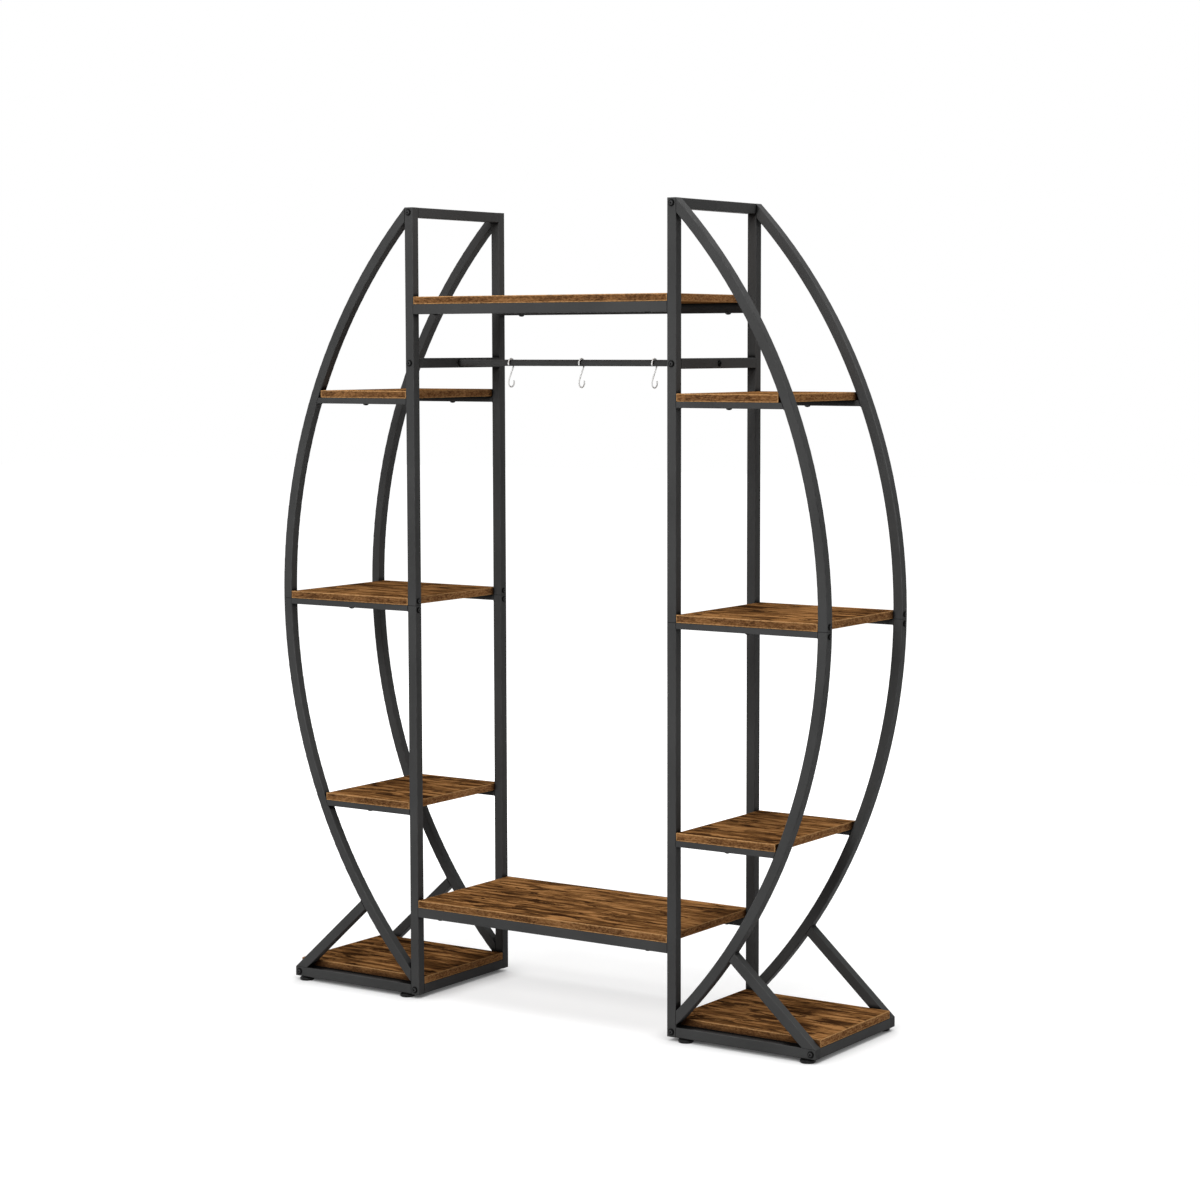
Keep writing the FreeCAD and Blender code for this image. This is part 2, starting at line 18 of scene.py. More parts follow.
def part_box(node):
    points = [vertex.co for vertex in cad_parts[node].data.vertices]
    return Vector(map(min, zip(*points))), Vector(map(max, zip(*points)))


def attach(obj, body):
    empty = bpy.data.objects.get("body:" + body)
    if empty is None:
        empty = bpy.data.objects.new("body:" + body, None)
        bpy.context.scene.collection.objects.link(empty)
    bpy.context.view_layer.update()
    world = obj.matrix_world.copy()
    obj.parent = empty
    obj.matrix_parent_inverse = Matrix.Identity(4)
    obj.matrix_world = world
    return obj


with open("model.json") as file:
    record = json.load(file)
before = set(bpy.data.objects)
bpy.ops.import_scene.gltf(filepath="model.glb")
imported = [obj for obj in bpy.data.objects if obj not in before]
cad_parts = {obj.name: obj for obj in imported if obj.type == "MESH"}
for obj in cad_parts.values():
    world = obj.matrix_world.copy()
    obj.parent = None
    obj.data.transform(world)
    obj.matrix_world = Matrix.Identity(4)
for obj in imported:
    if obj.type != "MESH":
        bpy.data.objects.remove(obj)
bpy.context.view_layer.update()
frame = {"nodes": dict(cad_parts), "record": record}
nodes = frame["nodes"]

# %% [markdown]
# ## The camera
#
# The viewpoint is a little right of the stand and at about chest height, with a long lens, so
# that the posts stay nearly parallel. A camera can be matched by eye, but the corners of a frame
# of known size settle it better. The place and the three turns were worked out by lining those
# corners up, so they are written as they are: turn left, look down, tilt.

# %% Place the camera
CAMERA_PLACE = Vector((3.104, -4.512, 1.331))
CAMERA_TURN_LEFT = 0.5961
CAMERA_LOOK_DOWN = 0.0923
CAMERA_TILT = -0.0022
LENS = 82.25
SENSOR = 36.0

camera_data = bpy.data.cameras.new("camera")
camera_data.lens = LENS
camera_data.sensor_width = SENSOR
camera = bpy.data.objects.new("camera", camera_data)
bpy.context.collection.objects.link(camera)
camera.matrix_world = (
    Matrix.Translation(CAMERA_PLACE)
    @ Matrix.Rotation(CAMERA_TURN_LEFT, 4, "Z")
    @ Matrix.Rotation(math.pi / 2 - CAMERA_LOOK_DOWN, 4, "X")
    @ Matrix.Rotation(CAMERA_TILT, 4, "Z")
)
bpy.context.scene.camera = camera
print("camera at", tuple(CAMERA_PLACE))

# %% [markdown]
# ## Building materials from nodes
#
# A finish is a small net of nodes. The same few steps come back in each: take the place on the
# object, stretch it, read a noise there, turn the noise into a colour, a roughness or a bump.
# Short helpers for those steps keep each finish readable. Pictures of real surfaces could do the
# same, but noise needs no files, shows no seams and stays sharp close up. All patterns read
# Object coordinates, which are metres here, so a scale of 900 means features of about a
# millimetre.


# %% Helpers for places and patterns
def new_finish(name):
    material = bpy.data.materials.new(name)
    material.use_nodes = True
    tree = material.node_tree
    return material, tree, tree.nodes["Principled BSDF"]


def add_node(tree, kind, **settings):
    node = tree.nodes.new("ShaderNode" + kind)
    for name, value in settings.items():
        setattr(node, name, value)
    return node


def place_on_object(tree):
    return add_node(tree, "TexCoord").outputs["Object"]


def split_axes(tree, vector):
    node = add_node(tree, "SeparateXYZ")
    tree.links.new(vector, node.inputs[0])
    return node.outputs


def facing(tree):
    # The outward direction, as three numbers without their signs
    node = add_node(tree, "VectorMath", operation="ABSOLUTE")
    tree.links.new(add_node(tree, "TexCoord").outputs["Normal"], node.inputs[0])
    return split_axes(tree, node.outputs[0])


def stretched(tree, place, scale, turn=(0, 0, 0)):
    mapping = add_node(tree, "Mapping")
    mapping.inputs["Scale"].default_value = scale
    mapping.inputs["Rotation"].default_value = turn
    tree.links.new(place, mapping.inputs["Vector"])
    return mapping.outputs["Vector"]


def noise(tree, place, scale=1.0, detail=3.0, roughness=0.5, warp=0.0):
    texture = add_node(tree, "TexNoise")
    texture.inputs["Scale"].default_value = scale
    texture.inputs["Detail"].default_value = detail
    texture.inputs["Roughness"].default_value = roughness
    texture.inputs["Distortion"].default_value = warp
    tree.links.new(place, texture.inputs["Vector"])
    return texture.outputs["Fac"]


# %% Helpers for numbers
CREVICE_SAMPLES = 8


def calculate(tree, operation, first, second=0.0):
    node = add_node(tree, "Math", operation=operation)
    for value, socket in zip((first, second), node.inputs):
        if isinstance(value, (int, float)):
            socket.default_value = value
        else:
            tree.links.new(value, socket)
    return node.outputs[0]


def away_from(tree, value, level):
    return calculate(tree, "ABSOLUTE", calculate(tree, "SUBTRACT", value, level))


def weighed(tree, *parts):
    total = calculate(tree, "MULTIPLY", *parts[0])
    for value, weight in parts[1:]:
        total = calculate(tree, "ADD", total, calculate(tree, "MULTIPLY", value, weight))
    return total


def spread(tree, value, low, high, to_low=0.0, to_high=1.0):
    # A smooth step. It runs downhill where the first limit is the larger one
    node = add_node(tree, "MapRange", interpolation_type="SMOOTHSTEP")
    tree.links.new(value, node.inputs["Value"])
    limits = {"From Min": low, "From Max": high, "To Min": to_low, "To Max": to_high}
    for name, number in limits.items():
        node.inputs[name].default_value = number
    return node.outputs["Result"]


def crevice(tree, reach, open_share, deep_share):
    # Nothing in the open, one where neighbours closer than the reach shut out most of the sky
    node = add_node(tree, "AmbientOcclusion", samples=CREVICE_SAMPLES)
    node.inputs["Distance"].default_value = reach
    return spread(tree, node.outputs["AO"], open_share, deep_share)


# %% Helpers for colours and surfaces
NOISE_SPAN = (0.3, 0.7)
CLOUD_STOPS = (0.35, 0.65)
COLOUR_INPUTS = (6, 7)
COLOUR_OUTPUT = 2


def ramp(tree, value, positions, colours):
    node = add_node(tree, "ValToRGB")
    elements = node.color_ramp.elements
    while len(elements) < len(colours):
        elements.new(1.0)
    for element, position, colour in zip(elements, positions, colours):
        element.position = position
        element.color = (*colour, 1.0)
    tree.links.new(value, node.inputs["Fac"])
    return node.outputs["Color"]


def blend_colour(tree, share, first, second):
    node = add_node(tree, "Mix", data_type="RGBA")
    tree.links.new(share, node.inputs[0])
    for value, number in zip((first, second), COLOUR_INPUTS):
        if isinstance(value, tuple):
            node.inputs[number].default_value = (*value, 1.0)
        else:
            tree.links.new(value, node.inputs[number])
    return node.outputs[COLOUR_OUTPUT]


def raise_surface(tree, shader, height, strength, distance):
    node = add_node(tree, "Bump")
    node.inputs["Strength"].default_value = strength
    node.inputs["Distance"].default_value = distance
    tree.links.new(height, node.inputs["Height"])
    tree.links.new(node.outputs["Normal"], shader.inputs["Normal"])


def give(material, names):
    for name in names:
        mesh = nodes[name].data
        mesh.materials.clear()
        mesh.materials.append(material)
    print(material.name, "on", len(names), "parts")


# %% [markdown]
# ## Charcoal powder coat
#
# Powder coat is a baked plastic skin: dark grey here, matt rather than glossy, with a fine
# orange-peel grain. A thin lighter line along the tubes' rounded corners is a painted highlight,
# broken up by noise. Every tube of the racks lies in an upright plane. Its flat sides look
# straight out of that plane or along it, and only its corners look in between, so the finish can
# find them from the direction they face.
# The pointiness of a mesh could tell it as well, but that needs a fine and even mesh, and these
# tubes are long thin triangles.
#
# A hairline shows where the upper frames stand on the lower ones, level with the middle shelves,
# and another where rails and bent tubes butt against the outer side of a post.
#
# Narrow gaps swallow light, and more of it than soft lamps alone would show. An ambient
# occlusion node finds them, and the coat is darker there. On level faces it looks further
# around, so that the ledges beside the boards are dark as well.

# %% Measure the joints and find the corners for the painted highlight
SEAM_FADE = (0.0008, 0.0003)
CORNER_RISE = (0.12, 0.45)
CORNER_FALL = (0.95, 0.6)
CORNER_HIGHLIGHT_NOISE_SCALE = 60.0
CORNER_HIGHLIGHT_NOISE_SPAN = (0.35, 0.6)
FRONT_FACE = (0.9, 0.98)
joint_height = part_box("right_middle_shelf")[0].z
post_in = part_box("right_top_rail")[0].x
post_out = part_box("right_top_rail")[1].x
print("frames meet at", joint_height, "and posts end at", post_out)


# Painted highlight: a thin lighter line on the rounded corners of the tubes, broken up by noise
def painted_corner_highlight(tree, place, front):
    rise = spread(tree, front, *CORNER_RISE)
    corner = calculate(tree, "MULTIPLY", rise, spread(tree, front, *CORNER_FALL))
    patchiness = noise(tree, place, scale=CORNER_HIGHLIGHT_NOISE_SCALE, detail=5.0)
    return calculate(tree, "MULTIPLY", corner, spread(tree, patchiness, *CORNER_HIGHLIGHT_NOISE_SPAN))


def hairlines(tree, place, front):
    axes = split_axes(tree, place)
    joint = spread(tree, away_from(tree, axes["Z"], joint_height), *SEAM_FADE)
    outwards = calculate(tree, "ABSOLUTE", axes["X"])
    butt = spread(tree, away_from(tree, outwards, post_out), *SEAM_FADE)
    butt = calculate(tree, "MULTIPLY", butt, spread(tree, front, *FRONT_FACE))
    return calculate(tree, "MAXIMUM", joint, butt)


# %% Make the powder coat
COAT_DARK = (0.046, 0.0462, 0.0460)
COAT_LIGHT = (0.056, 0.0562, 0.0560)
COAT_CORNER_HIGHLIGHT = (0.074, 0.0742, 0.0740)
COAT_SEAM = (0.010, 0.010, 0.010)
COAT_CREVICE = (0.004, 0.004, 0.004)
COAT_CLOUD_SCALE = 7.0
COAT_ROUGHNESS = (0.46, 0.60)
COAT_GLOSS = 0.05
PEEL_SCALE = 850.0
PEEL_BUMP = 0.12
PEEL_DEPTH = 0.0004
GAP_REACH = 0.012
GAP_SHADE = (0.95, 0.6)
LEDGE_REACH = 0.03
LEDGE_SHADE = (0.95, 0.65)
LEVEL_FACE = (0.6, 0.9)


def shade_in_gaps(tree, upwards):
    gap = crevice(tree, GAP_REACH, *GAP_SHADE)
    ledge = crevice(tree, LEDGE_REACH, *LEDGE_SHADE)
    ledge = calculate(tree, "MULTIPLY", ledge, spread(tree, upwards, *LEVEL_FACE))
    return calculate(tree, "MAXIMUM", gap, ledge)


def powder_coat(name):
    material, tree, shader = new_finish(name)
    place = place_on_object(tree)
    out = facing(tree)
    cloud = noise(tree, place, scale=COAT_CLOUD_SCALE, detail=4.0)
    colour = ramp(tree, cloud, CLOUD_STOPS, (COAT_DARK, COAT_LIGHT))
    # Painted highlight along the tube corners
    colour = blend_colour(tree, painted_corner_highlight(tree, place, out["Y"]), colour, COAT_CORNER_HIGHLIGHT)
    colour = blend_colour(tree, hairlines(tree, place, out["Y"]), colour, COAT_SEAM)
    colour = blend_colour(tree, shade_in_gaps(tree, out["Z"]), colour, COAT_CREVICE)
    tree.links.new(colour, shader.inputs["Base Color"])
    peel = noise(tree, place, scale=PEEL_SCALE, detail=2.0)
    tree.links.new(spread(tree, peel, *NOISE_SPAN, *COAT_ROUGHNESS), shader.inputs["Roughness"])
    shader.inputs["Specular IOR Level"].default_value = COAT_GLOSS
    raise_surface(tree, shader, peel, PEEL_BUMP, PEEL_DEPTH)
    return material


coat = powder_coat("charcoal_coat")
give(coat, [name for name in nodes if name.endswith(("_frame", "_rail", "_crossbar", "_bar"))])

# %% [markdown]
# ## Rustic boards
#
# The boards are faced with a printed grain: warm brown streaks, broken up by chocolate smudges a
# few centimetres long, fine fibres and a few cross-cut saw marks. The grain runs from left to
# right on all of them. A picture of wood would repeat from board to board. Noise is read at the
# board's own place in the room instead, so no two boards show the same piece of it. The edge
# bands are speckled instead of streaked. Those on the short ends are paler, and their grain
# runs the other way, front to back. The print is matt, so it doesn't mirror the surround, and
# like the coat it gets painted shade, darker where a tube lies close by.
#
# Every edge gets a painted highlight, a pale line about two millimetres wide, broken up by
# specks. A point on a board has three distances to the board's outer planes. The smallest is
# nothing, because the point lies on one of them, and the second smallest is the way to the
# nearest edge. So each board gets its own copy of the finish, with its own outline in it.

# %% Find the grain and the edges of a board
QUARTER_TURN = (0, 0, math.pi / 2)
SHORT_END = (0.6, 0.8)
VECTOR_INPUTS = (4, 5)
VECTOR_OUTPUT = 1


def along_the_grain(tree, out):
    # The place on the board, turned by a quarter on the two short ends
    ahead = place_on_object(tree)
    turned = stretched(tree, ahead, (1, 1, 1), turn=QUARTER_TURN)
    choose = add_node(tree, "Mix", data_type="VECTOR")
    tree.links.new(spread(tree, out["X"], *SHORT_END), choose.inputs[0])
    for value, number in zip((ahead, turned), VECTOR_INPUTS):
        tree.links.new(value, choose.inputs[number])
    return choose.outputs[VECTOR_OUTPUT]


def grain_noise(tree, grain, scale, detail, roughness=0.5, warp=0.0):
    return noise(tree, stretched(tree, grain, scale), detail=detail, roughness=roughness, warp=warp)


def way_to_edge(tree, low, high):
    gaps = []
    for value, near, far in zip(split_axes(tree, place_on_object(tree)), low, high):
        from_middle = away_from(tree, value, (near + far) / 2)
        gaps.append(calculate(tree, "SUBTRACT", (far - near) / 2, from_middle))
    smaller = calculate(tree, "MINIMUM", gaps[0], gaps[1])
    larger = calculate(tree, "MAXIMUM", gaps[0], gaps[1])
    return calculate(tree, "MAXIMUM", smaller, calculate(tree, "MINIMUM", larger, gaps[2]))


# %% Print the grain
WOOD_DARKEST = (0.026, 0.0106, 0.0046)
WOOD_DARK = (0.074, 0.0330, 0.0119)
WOOD_MIDDLE = (0.195, 0.0875, 0.0285)
WOOD_LIGHT = (0.405, 0.1970, 0.0700)
WOOD_STOPS = (0.435, 0.50, 0.565)
PLANK_SCALE = (3.0, 14.0, 14.0)
STREAK_SCALE = (9.0, 72.0, 72.0)
FIBRE_SCALE = (50.0, 900.0, 900.0)
SAW_SCALE = (420.0, 14.0, 14.0)
PLANK_SHARE = 0.12
STREAK_SHARE = 0.64
FIBRE_SHARE = 0.17
SAW_SHARE = 0.07
SMUDGE_SCALE = (14.0, 44.0, 44.0)
CLUSTER_SCALE = (3.5, 8.0, 8.0)
SMUDGE_SHARE = 0.85
CLUSTER_SHARE = 0.15
STAIN_SPAN = (0.515, 0.585)
STAIN_STRENGTH = 0.85


def printed_grain(tree, grain, streak, fibre):
    plank = grain_noise(tree, grain, PLANK_SCALE, detail=2.0, warp=0.5)
    saw = grain_noise(tree, grain, SAW_SCALE, detail=2.0)
    tone = weighed(tree, (streak, STREAK_SHARE), (plank, PLANK_SHARE),
                   (fibre, FIBRE_SHARE), (saw, SAW_SHARE))
    colour = ramp(tree, tone, WOOD_STOPS, (WOOD_DARK, WOOD_MIDDLE, WOOD_LIGHT))
    smudge = grain_noise(tree, grain, SMUDGE_SCALE, detail=6.0, roughness=0.65, warp=0.6)
    cluster = grain_noise(tree, grain, CLUSTER_SCALE, detail=2.0)
    stain = spread(tree, weighed(tree, (smudge, SMUDGE_SHARE), (cluster, CLUSTER_SHARE)), *STAIN_SPAN)
    return blend_colour(tree, calculate(tree, "MULTIPLY", stain, STAIN_STRENGTH), colour, WOOD_DARKEST)


# %% Band the edges
BAND_DARK = (0.042, 0.0185, 0.0080)
BAND_MIDDLE = (0.125, 0.0570, 0.0220)
BAND_LIGHT = (0.265, 0.1330, 0.0570)
END_DARK = (0.100, 0.0440, 0.0180)
END_MIDDLE = (0.310, 0.1420, 0.0540)
END_LIGHT = (0.540, 0.2880, 0.1240)
BAND_STOPS = (0.36, 0.49, 0.62)
BAND_STRENGTH = 0.7
UPRIGHT_FACE = (0.6, 0.35)
SPECK_SCALE = (150.0, 420.0, 420.0)
WOOD_EDGE_HIGHLIGHT = (0.52, 0.285, 0.118)
EDGE_HIGHLIGHT_WIDTH = (0.0026, 0.0008)
EDGE_HIGHLIGHT_SPAN = (0.3, 0.6)
EDGE_HIGHLIGHT_STRENGTH = (0.25, 0.85)


def banded_edges(tree, out, colour, speck):
    long_band = ramp(tree, speck, BAND_STOPS, (BAND_DARK, BAND_MIDDLE, BAND_LIGHT))
    short_band = ramp(tree, speck, BAND_STOPS, (END_DARK, END_MIDDLE, END_LIGHT))
    band = blend_colour(tree, spread(tree, out["X"], *SHORT_END), long_band, short_band)
    upright = calculate(tree, "MULTIPLY", spread(tree, out["Z"], *UPRIGHT_FACE), BAND_STRENGTH)
    return blend_colour(tree, upright, colour, band)


# Painted highlight: a pale line along every edge of the board
def painted_edge_highlights(tree, colour, speck, low, high):
    edge_highlight = spread(tree, way_to_edge(tree, low, high), *EDGE_HIGHLIGHT_WIDTH)
    edge_highlight = calculate(tree, "MULTIPLY", edge_highlight, spread(tree, speck, *EDGE_HIGHLIGHT_SPAN, *EDGE_HIGHLIGHT_STRENGTH))
    return blend_colour(tree, edge_highlight, colour, WOOD_EDGE_HIGHLIGHT)


# %% Make the boards
BOARD_REACH = 0.03
BOARD_SHADE = (0.85, 0.45)
BOARD_SHADE_STRENGTH = 0.9
WOOD_ROUGHNESS = (0.68, 0.52)
WOOD_BUMP = 0.25
WOOD_DEPTH = 0.0004
FIBRE_RELIEF = 1.0
STREAK_RELIEF = 0.8


def rustic_board(name, low, high):
    material, tree, shader = new_finish(name)
    out = facing(tree)
    grain = along_the_grain(tree, out)
    streak = grain_noise(tree, grain, STREAK_SCALE, detail=6.0, roughness=0.65, warp=0.4)
    fibre = grain_noise(tree, grain, FIBRE_SCALE, detail=3.0)
    speck = grain_noise(tree, grain, SPECK_SCALE, detail=4.0, roughness=0.75)
    colour = printed_grain(tree, grain, streak, fibre)
    colour = banded_edges(tree, out, colour, speck)
    # Painted highlight along the board's edges
    colour = painted_edge_highlights(tree, colour, speck, low, high)
    # Painted shade: the wood goes darker where a tube or a rail lies close by
    deep = calculate(tree, "MULTIPLY", crevice(tree, BOARD_REACH, *BOARD_SHADE), BOARD_SHADE_STRENGTH)
    tree.links.new(blend_colour(tree, deep, colour, WOOD_DARKEST), shader.inputs["Base Color"])
    tree.links.new(spread(tree, streak, *NOISE_SPAN, *WOOD_ROUGHNESS), shader.inputs["Roughness"])
    shader.inputs["Specular IOR Level"].default_value = 0.0
    relief = weighed(tree, (fibre, FIBRE_RELIEF), (streak, STREAK_RELIEF))
    raise_surface(tree, shader, relief, WOOD_BUMP, WOOD_DEPTH)
    return material


for name in nodes:
    if name.endswith(("_shelf", "_board")):
        give(rustic_board(f"{name}_grain", *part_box(name)), [name])

# %% [markdown]
# ## Feet, hooks and other small parts
#
# These are plain workshop finishes that differ in colour, shine and the size of their grain:
# moulded black plastic under the feet and in the tube ends, white dipped wire for the hooks, and
# zinc on the nuts, connectors and screws inside. Plain colours would do from afar, but close up
# no moulded or plated surface is quite even. One function makes a speckled finish, and a second
# one draws it out in one direction for brushed metal.

# %% Make the small finishes
SPECKLE_STOPS = (0.35, 0.68)
SPECKLE_DEPTH = 0.0003
GRAINS_PER_CLOUD = 12
BRUSH_BUMP = 0.1
BRUSH_DEPTH = 0.0002


def grey(level):
    return (level, level, level)


def speckled(name, dark, light, shine, grain_scale, bump, metal=0.0, gloss=0.5):
    material, tree, shader = new_finish(name)
    place = place_on_object(tree)
    cloud = noise(tree, place, scale=grain_scale / GRAINS_PER_CLOUD, detail=4.0)
    tree.links.new(ramp(tree, cloud, SPECKLE_STOPS, (dark, light)), shader.inputs["Base Color"])
    grain = noise(tree, place, scale=grain_scale, detail=3.0)
    tree.links.new(spread(tree, grain, *NOISE_SPAN, *shine), shader.inputs["Roughness"])
    shader.inputs["Metallic"].default_value = metal
    shader.inputs["Specular IOR Level"].default_value = gloss
    raise_surface(tree, shader, grain, bump, SPECKLE_DEPTH)
    return material


def brushed(name, dark, light, shine, along):
    material, tree, shader = new_finish(name)
    line = noise(tree, stretched(tree, place_on_object(tree), along), detail=4.0)
    tree.links.new(ramp(tree, line, CLOUD_STOPS, (dark, light)), shader.inputs["Base Color"])
    tree.links.new(spread(tree, line, *NOISE_SPAN, *shine), shader.inputs["Roughness"])
    shader.inputs["Metallic"].default_value = 1.0
    raise_surface(tree, shader, line, BRUSH_BUMP, BRUSH_DEPTH)
    return material


foot_plastic = speckled("foot_plastic", grey(0.006), grey(0.012),
                        shine=(0.3, 0.45), grain_scale=1400, bump=0.15, gloss=0.15)
plug_plastic = speckled("plug_plastic", grey(0.036), grey(0.044),
                        shine=(0.5, 0.62), grain_scale=1400, bump=0.2, gloss=0.05)
white_wire = speckled("white_wire", (0.84, 0.84, 0.83), (0.93, 0.93, 0.92),
                      shine=(0.22, 0.32), grain_scale=700, bump=0.06)
cap_plastic = speckled("cap_plastic", (0.62, 0.62, 0.61), (0.74, 0.74, 0.73),
                       shine=(0.42, 0.55), grain_scale=1600, bump=0.15)
zinc = speckled("zinc_plate", (0.42, 0.43, 0.44), (0.62, 0.63, 0.65),
                shine=(0.28, 0.42), grain_scale=600, bump=0.1, metal=1.0)
aluminium = brushed("anodised_aluminium", (0.58, 0.59, 0.60), (0.74, 0.75, 0.76),
                    shine=(0.3, 0.42), along=(8, 1400, 1400))
spring_steel = brushed("spring_steel", (0.36, 0.36, 0.37), (0.55, 0.55, 0.56),
                       shine=(0.25, 0.38), along=(1200, 30, 30))

foot_names = [name for name in nodes if name.endswith("_foot")]
hook_names = [name for name in nodes if name.endswith("_hook")]
give(foot_plastic, foot_names)
give(plug_plastic, ["tube_end_plugs"])
give(white_wire, hook_names)
give(cap_plastic, ["light_end_caps"])
give(zinc, ["joint_connectors", "foot_nuts", "clip_screws"])
give(aluminium, [name for name in nodes if name.endswith("_light_housing")])
give(spring_steel, ["light_clips"])

# %% [markdown]
# ## Blackened bolts
#
# The bolts are black. Their crowns get a painted sheen, a lighter grey broken up by noise, while
# the steep rims stay black and painted shade keeps the sockets black. Crown and rim could be
# painted by hand, one bolt after the other. But all bolts of a kind point along one axis, so the
# direction that a spot faces tells crown from rim, and ambient occlusion finds the socket.

# %% Make the bolts
BOLT_BLACK = (0.0012, 0.0012, 0.0012)
BOLT_CROWN_SHEEN = (0.066, 0.066, 0.067)
BOLT_CROWN = (0.88, 0.97)
BOLT_SHEEN_SCALE = 500.0
BOLT_SHEEN_SPAN = (0.25, 0.6)
BOLT_SHEEN_STRENGTH = (0.6, 1.0)
BOLT_ROUGHNESS = (0.6, 0.45)
BOLT_GLOSS = 0.05
SOCKET_REACH = 0.004
SOCKET_SHADE = (0.85, 0.55)
BOLT_AXES = {"frame": "Y", "joint": "X", "shelf": "Z"}


def blackened_bolt(name, direction):
    material, tree, shader = new_finish(name)
    crown = spread(tree, facing(tree)[direction], *BOLT_CROWN)
    patchiness = noise(tree, place_on_object(tree), scale=BOLT_SHEEN_SCALE, detail=4.0)
    # Painted sheen: the crown is lighter grey than the black rim
    sheen = calculate(tree, "MULTIPLY", crown, spread(tree, patchiness, *BOLT_SHEEN_SPAN, *BOLT_SHEEN_STRENGTH))
    colour = blend_colour(tree, sheen, BOLT_BLACK, BOLT_CROWN_SHEEN)
    # Painted shade keeps the socket black
    deep = crevice(tree, SOCKET_REACH, *SOCKET_SHADE)
    tree.links.new(blend_colour(tree, deep, colour, BOLT_BLACK), shader.inputs["Base Color"])
    tree.links.new(spread(tree, patchiness, *NOISE_SPAN, *BOLT_ROUGHNESS), shader.inputs["Roughness"])
    shader.inputs["Specular IOR Level"].default_value = BOLT_GLOSS
    raise_surface(tree, shader, patchiness, BRUSH_BUMP, BRUSH_DEPTH)
    return material


for kind, direction in BOLT_AXES.items():
    give(blackened_bolt(f"{kind}_bolt_steel", direction), [f"{kind}_bolts"])

# %% [markdown]
# ## Grow lights
#
# Behind each milky cover a row of chips shines warm white. The cover spreads the light, but a
# soft brighter spot stays below every chip. Small lamps behind a cloudy cover would show that
# too, slowly and with much grain in the picture. So the cover glows by itself: a wave along the
# length of the strip, one crest per chip, drives the glow. Otherwise it is a pale satin plastic.
# The circuit strip is white lacquer, a little yellowed in places.

# %% Make the light finishes
CHIP_PITCH = 0.020
COUNT_SLACK = 0.01
GLOW_COLOUR = (1.0, 0.90, 0.62)
GLOW_LOW = 0.5
GLOW_HIGH = 0.95
COVER_DARK = (0.80, 0.77, 0.68)
COVER_LIGHT = (0.86, 0.84, 0.76)
COVER_ROUGHNESS = (0.35, 0.5)
HAZE_SCALE = 300.0
LIGHTS = {"centre": "X", "left": "Y", "right": "Y"}


def milky_cover(name, direction, first_chip):
    material, tree, shader = new_finish(name)
    place = place_on_object(tree)
    from_chip = calculate(tree, "SUBTRACT", split_axes(tree, place)[direction], first_chip)
    turns = calculate(tree, "MULTIPLY", from_chip, 2 * math.pi / CHIP_PITCH)
    crest = calculate(tree, "COSINE", turns)
    tree.links.new(spread(tree, crest, -1.0, 1.0, GLOW_LOW, GLOW_HIGH), shader.inputs["Emission Strength"])
    shader.inputs["Emission Color"].default_value = (*GLOW_COLOUR, 1.0)
    haze = noise(tree, place, scale=HAZE_SCALE)
    tree.links.new(ramp(tree, haze, NOISE_SPAN, (COVER_DARK, COVER_LIGHT)), shader.inputs["Base Color"])
    tree.links.new(spread(tree, haze, *NOISE_SPAN, *COVER_ROUGHNESS), shader.inputs["Roughness"])
    return material


def first_chip_on(strip_low, strip_high):
    chip_count = int((strip_high - strip_low) / CHIP_PITCH + COUNT_SLACK)
    return (strip_low + strip_high) / 2 - (chip_count - 1) / 2 * CHIP_PITCH


for light_name, direction in LIGHTS.items():
    strip_low, strip_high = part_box(f"{light_name}_light_circuit")
    axis = "XYZ".index(direction)
    first_chip = first_chip_on(strip_low[axis], strip_high[axis])
    give(milky_cover(f"{light_name}_milky_cover", direction, first_chip), [f"{light_name}_light_cover"])
circuit_lacquer = speckled("circuit_lacquer", (0.80, 0.76, 0.60), (0.88, 0.87, 0.82),
                           shine=(0.3, 0.4), grain_scale=500, bump=0.05)
give(circuit_lacquer, [f"{light_name}_light_circuit" for light_name in LIGHTS])

# %% [markdown]
# ## Weld beads
#
# The tubes of a rack are welded where they meet, and each seam leaves a small rippled bead in
# the corner. A bump in the coat could hint at it, but a bead fills the corner and catches light
# of its own, so it is a real shape. One is modelled: a little disc is extruded ring by ring
# along the seam, and every other ring is drawn in, which gives the ripples. Copies of it go into
# the corners of all racks. The corners follow from the frame: the posts, the boards that lie on
# the shelf rails, the end of the base and the circle that the bent tubes are part of.


# %% Helpers for modelling
def deselect_all():
    bpy.ops.object.select_all(action="DESELECT")


def apply_place():
    # Puts the new piece's place into its mesh, so that the object itself sits at the origin
    bpy.ops.object.transform_apply(location=True, rotation=True, scale=True)


def edit_all(piece):
    bpy.context.view_layer.objects.active = piece
    bpy.ops.object.mode_set(mode="EDIT")
    bpy.ops.mesh.select_all(action="SELECT")


def close_up(smooth_angle):
    # Turns all faces outwards, leaves edit mode and smooths the gentle edges
    bpy.ops.mesh.select_all(action="SELECT")
    bpy.ops.mesh.normals_make_consistent(inside=False)
    bpy.ops.object.mode_set(mode="OBJECT")
    bpy.ops.object.shade_smooth_by_angle(angle=math.radians(smooth_angle))


def joined_copies(pattern, name, places):
    deselect_all()
    for matrix in places:
        copy = bpy.data.objects.new(name, pattern.data.copy())
        copy.data.transform(matrix)
        bpy.context.collection.objects.link(copy)
        copy.select_set(True)
        bpy.context.view_layer.objects.active = copy
    if len(places) > 1:
        bpy.ops.object.join()
    piece = bpy.context.view_layer.objects.active
    piece.name = name
    return piece


# %% Model one weld bead
BEAD_RADIUS = 0.0017
BEAD_SIDES = 10
BEAD_RIPPLES = 7
BEAD_DRAWN_IN = 0.82
BEAD_END = 0.55
BEAD_SHARE = 0.9
tube = post_out - post_in
bead_length = BEAD_SHARE * tube


